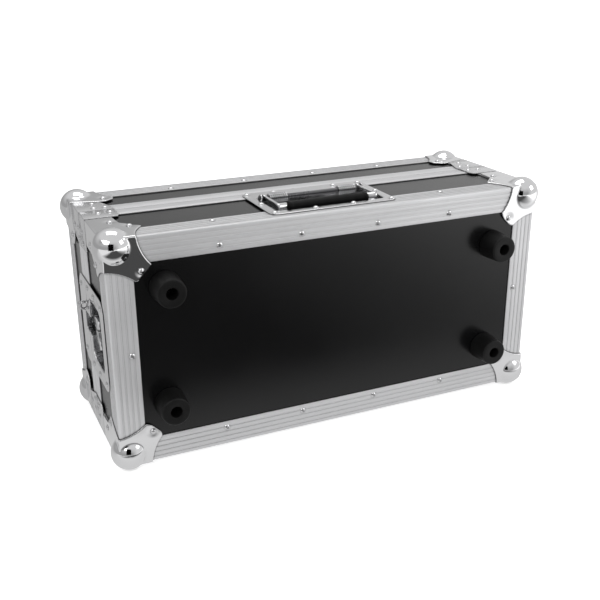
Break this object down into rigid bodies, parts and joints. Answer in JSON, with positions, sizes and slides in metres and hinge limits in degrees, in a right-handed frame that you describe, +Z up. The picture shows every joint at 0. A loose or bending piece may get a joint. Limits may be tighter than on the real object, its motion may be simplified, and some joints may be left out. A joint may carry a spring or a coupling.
{
  "type": "hard equipment case",
  "caption": "Flight case with plywood panels in aluminium angles, ball corners, lift-off lid, recessed butterfly latches, sprung drop handle and rubber feet.",
  "frame": {"origin": "on the surface it stands on, under the middle of its box, ball corners and feet counted", "axes": "+X along the case's length, +Y from the bottom panel with the feet to the lid, +Z up through the handle; the case stands on its back side, on four ball corners"},
  "size_m": [0.5696, 0.2394, 0.287],
  "materials": {
    "laminate": "black laminate on plywood, semi-gloss",
    "aluminium": "satin extruded, shallow grooves",
    "pressed_chrome": "bright zinc-plated pressed steel",
    "zinc_steel": "zinc-plated steel",
    "rivet_steel": "domed steel rivets",
    "foot_rubber": "moulded black rubber",
    "grip_rubber": "smooth black rubber",
    "foam": "charcoal cell foam"
  },
  "bodies": {
    "base": {"bottom_panel": "laminate", "base_front_panel": "laminate", "base_back_panel": "laminate", "base_left_panel": "laminate", "base_right_panel": "laminate", "base_front_angle": "aluminium", "base_back_angle": "aluminium", "base_left_angle": "aluminium", "base_right_angle": "aluminium", "base_front_closure": "aluminium", "base_back_closure": "aluminium", "base_left_closure": "aluminium", "base_right_closure": "aluminium", "base_corner_angles": "aluminium", "base_ball_corners": "pressed_chrome", "base_braces": "pressed_chrome", "base_edge_rivets": "rivet_steel", "base_corner_rivets": "rivet_steel", "rubber_feet": "foot_rubber", "foot_washers": "zinc_steel", "foot_screws": "zinc_steel", "base_foam": "foam", "handle_dish": "pressed_chrome", "handle_rivets": "rivet_steel", "handle_axle": "zinc_steel", "handle_springs": "zinc_steel", "left_latch_dish": "pressed_chrome", "right_latch_dish": "pressed_chrome", "latch_rivets": "rivet_steel"},
    "lid": {"lid_panel": "laminate", "lid_front_panel": "laminate", "lid_back_panel": "laminate", "lid_left_panel": "laminate", "lid_right_panel": "laminate", "lid_front_angle": "aluminium", "lid_back_angle": "aluminium", "lid_left_angle": "aluminium", "lid_right_angle": "aluminium", "lid_front_closure": "aluminium", "lid_back_closure": "aluminium", "lid_left_closure": "aluminium", "lid_right_closure": "aluminium", "lid_corner_angles": "aluminium", "lid_ball_corners": "pressed_chrome", "lid_braces": "pressed_chrome", "lid_edge_rivets": "rivet_steel", "lid_corner_rivets": "rivet_steel", "left_strike_dish": "pressed_chrome", "right_strike_dish": "pressed_chrome", "strike_rivets": "rivet_steel", "lid_foam": "foam"},
    "handle": {"handle_bail": "pressed_chrome", "handle_grip": "grip_rubber"},
    "left_hub": {"left_latch_hub": "zinc_steel"},
    "left_key": {"left_latch_key": "pressed_chrome"},
    "left_claw": {"left_latch_claw": "zinc_steel"},
    "right_hub": {"right_latch_hub": "zinc_steel"},
    "right_key": {"right_latch_key": "pressed_chrome"},
    "right_claw": {"right_latch_claw": "zinc_steel"}
  },
  "joints": [
    {"name": "lid_lift", "type": "slide", "parent": "base", "child": "lid", "axis": [0, 1, 0], "range_m": [0, 0.15]},
    {"name": "handle_swing", "type": "hinge", "parent": "base", "child": "handle", "pos_m": [0, -0.01425, 0.2795], "axis": [-1, 0, 0], "range_deg": [0, 90], "stiffness_Nm_per_rad": 0.15, "springref_deg": -20.05},
    {"name": "left_key_turn", "type": "hinge", "parent": "base", "child": "left_hub", "pos_m": [-0.274, -0.02125, 0.1435], "axis": [-1, 0, 0], "range_deg": [0, 180]},
    {"name": "left_key_fold", "type": "hinge", "parent": "left_hub", "child": "left_key", "pos_m": [-0.27075, -0.02125, 0.1435], "axis": [0, 0, 1], "range_deg": [0, 90]},
    {"name": "left_claw_draw", "type": "slide", "parent": "base", "child": "left_claw", "axis": [0, 1, 0], "range_m": [0, 0.009]},
    {"name": "right_key_turn", "type": "hinge", "parent": "base", "child": "right_hub", "pos_m": [0.274, -0.02125, 0.1435], "axis": [1, 0, 0], "range_deg": [0, 180]},
    {"name": "right_key_fold", "type": "hinge", "parent": "right_hub", "child": "right_key", "pos_m": [0.27075, -0.02125, 0.1435], "axis": [0, 0, -1], "range_deg": [0, 90]},
    {"name": "right_claw_draw", "type": "slide", "parent": "base", "child": "right_claw", "axis": [0, 1, 0], "range_m": [0, 0.009]}
  ],
  "couplings": [
    {"joint": "left_claw_draw", "follows": "left_key_turn", "m_per_rad": 0.00286},
    {"joint": "right_claw_draw", "follows": "right_key_turn", "m_per_rad": 0.00286}
  ]
}
